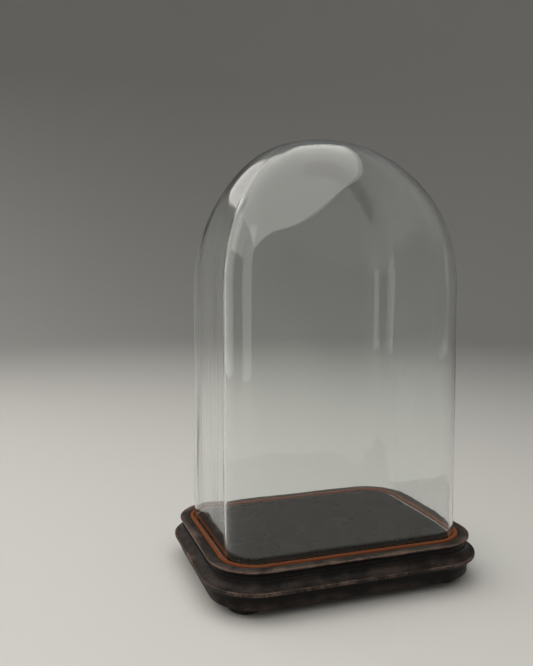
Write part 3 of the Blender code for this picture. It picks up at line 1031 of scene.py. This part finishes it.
lamp_way = add(glass_tree, "BsdfTransparent", {"Color": (0.95, 0.965, 0.96, 1.0)})
ray = add(glass_tree, "LightPath").outputs
has_come_far = calculate(glass_tree, "GREATER_THAN", ray["Ray Length"], far_for_a_wall)
mirrored = calculate(glass_tree, "SUBTRACT", ray["Is Glossy Ray"], ray["Is Transmission Ray"])
mirrored = calculate(glass_tree, "MAXIMUM", mirrored, 0.0)
far_mirrored = calculate(glass_tree, "MULTIPLY", has_come_far, mirrored)
bounced = calculate(glass_tree, "MAXIMUM", ray["Is Diffuse Ray"], far_mirrored)
bounced = calculate(glass_tree, "MAXIMUM", bounced, ray["Is Shadow Ray"])
mix_inputs = {0: bounced, 1: glass_shader.outputs[0], 2: lamp_way.outputs[0]}
glass_mix = add(glass_tree, "MixShader", mix_inputs)
glass_tree.links.new(glass_mix.outputs[0], glass_tree.nodes["Material Output"].inputs["Surface"])
print("clear_glass has", len(glass_tree.nodes), "nodes")

# %% [markdown]
# ## The dome
# The dome was blown into an oblong mould and closed over by hand: its foot is a rounded
# rectangle, and towards the crown the plan eases into an ellipse. The same rule draws the outside
# and, three millimetres in, the inside. Blown walls are never true, so the wall gets slow waves,
# a fraction of a millimetre high, and each face gets fainter ones of its own. They bend the
# reflections into the wandering streaks of old glass.

# %% Glass dome
rim_level = 43.2 * MM
dome_height = 386.6 * MM
wall_height = 234.7 * MM
wall_draft = 0.8 * MM
glass_thickness = 3.0 * MM
crown_fullness = 2.4
crown_easing = 2.6
wall_rows = 30
crown_rows = 58
rim_easing = ((0.0, 0.9), (0.04, 0.45), (0.18, 0.14), (0.45, 0.0))
dome_steps = {"arc_steps": 30, "long_steps": 40, "short_steps": 28}
wall_wave = 0.9 * MM
face_wave = 0.22 * MM
calm_foot = 0.08
calm_crown = 0.10


def drawn_in(inset, draft, height):
    """A ring of the straight wall, moved in from the outside."""
    plan = outline(-inset - draft, **dome_steps)
    return np.column_stack((plan, np.full(len(plan), rim_level + height)))


def dome_face(inset):
    """Rings of one face of the glass from near the rim up to the pole."""
    top = dome_height - inset
    rings = []
    for row in range(1, wall_rows):
        share = row / wall_rows
        rings.append(drawn_in(inset, wall_draft * math.sin(share * math.pi / 2), wall_height * share))
    plan = outline(-inset - wall_draft, **dome_steps)
    half_length = dome_length / 2 - inset - wall_draft
    half_width = dome_width / 2 - inset - wall_draft
    reach = np.hypot(plan[:, 0] / half_length, plan[:, 1] / half_width)
    for row in range(crown_rows):
        angle = row / crown_rows * math.pi / 2
        rise = math.sin(angle) ** (2 / crown_fullness)
        spread = math.cos(angle) ** (2 / crown_fullness)
        ellipse_share = rise**crown_easing
        scale = spread * (1 - ellipse_share + ellipse_share / reach)
        height = rim_level + wall_height + (top - wall_height) * rise
        rings.append(np.column_stack((plan * scale[:, None], np.full(len(plan), height))))
    rings.append(np.array([(0.0, 0.0, rim_level + top)]))
    return rings


outer_rim = [drawn_in(inset * MM, 0.0, height * MM) for inset, height in rim_easing]
inner_rim = [drawn_in(glass_thickness - inset * MM, 0.0, height * MM) for inset, height in rim_easing]
outside = dome_face(0.0)
inside = dome_face(glass_thickness)
dome_rings = outside[::-1] + outer_rim + inner_rim[::-1] + inside
dome_mesh = skin("blown_dome", dome_rings)

ring_of_point = np.repeat(np.arange(len(dome_rings)), [len(ring) for ring in dome_rings])
rim_first = len(outside)
rim_last = rim_first + len(outer_rim) + len(inner_rim) - 1
ground_value = ((ring_of_point > rim_first) & (ring_of_point < rim_last)).astype(float)
paint(dome_mesh, "ground", ground_value)

points = np.empty(len(dome_mesh.vertices) * 3)
dome_mesh.vertices.foreach_get("co", points)
points = points.reshape(-1, 3)
normals = np.empty(len(dome_mesh.vertices) * 3)
dome_mesh.vertex_normals.foreach_get("vector", normals)
normals = normals.reshape(-1, 3)
round_angle = np.arctan2(points[:, 1] / dome_width, points[:, 0] / dome_length)
height_share = (points[:, 2] - rim_level) / dome_height
calm = np.clip(height_share / calm_foot, 0.0, 1.0)
calm *= np.clip((1.0 - height_share) / calm_crown, 0.0, 1.0)
on_outside = ring_of_point < rim_first


def sum_of_waves(count, least_turns, most_turns, climb_limit, both_faces):
    """Waves that run round and up the dome; the two faces share them or each has its own."""
    total = np.zeros(len(points))
    for wave in range(count):
        turns = int(chance.integers(least_turns, most_turns))
        climb = chance.uniform(-climb_limit, climb_limit)
        phase_outside, phase_inside = chance.uniform(0.0, 2 * math.pi, 2)
        phase = phase_outside if both_faces else np.where(on_outside, phase_outside, phase_inside)
        total += np.sin(turns * round_angle + climb * height_share + phase) / count
    return total


drawing = wall_wave * sum_of_waves(7, 6, 15, climb_limit=16.0, both_faces=True)
thickness_change = face_wave * sum_of_waves(9, 4, 12, climb_limit=12.0, both_faces=False)
shift = (np.where(on_outside, 1.0, -1.0) * drawing + thickness_change) * calm
points += normals * shift[:, None]
dome_mesh.vertices.foreach_set("co", points.ravel())
dome_mesh.update()

dome = place("blown_dome", dome_mesh, clear_glass)
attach(dome, "dome")
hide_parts("glass_dome")
highest_wave = round(float(np.abs(drawing).max()) / MM, 2)
print("blown_dome faces:", len(dome_mesh.polygons), "waves up to mm:", highest_wave)
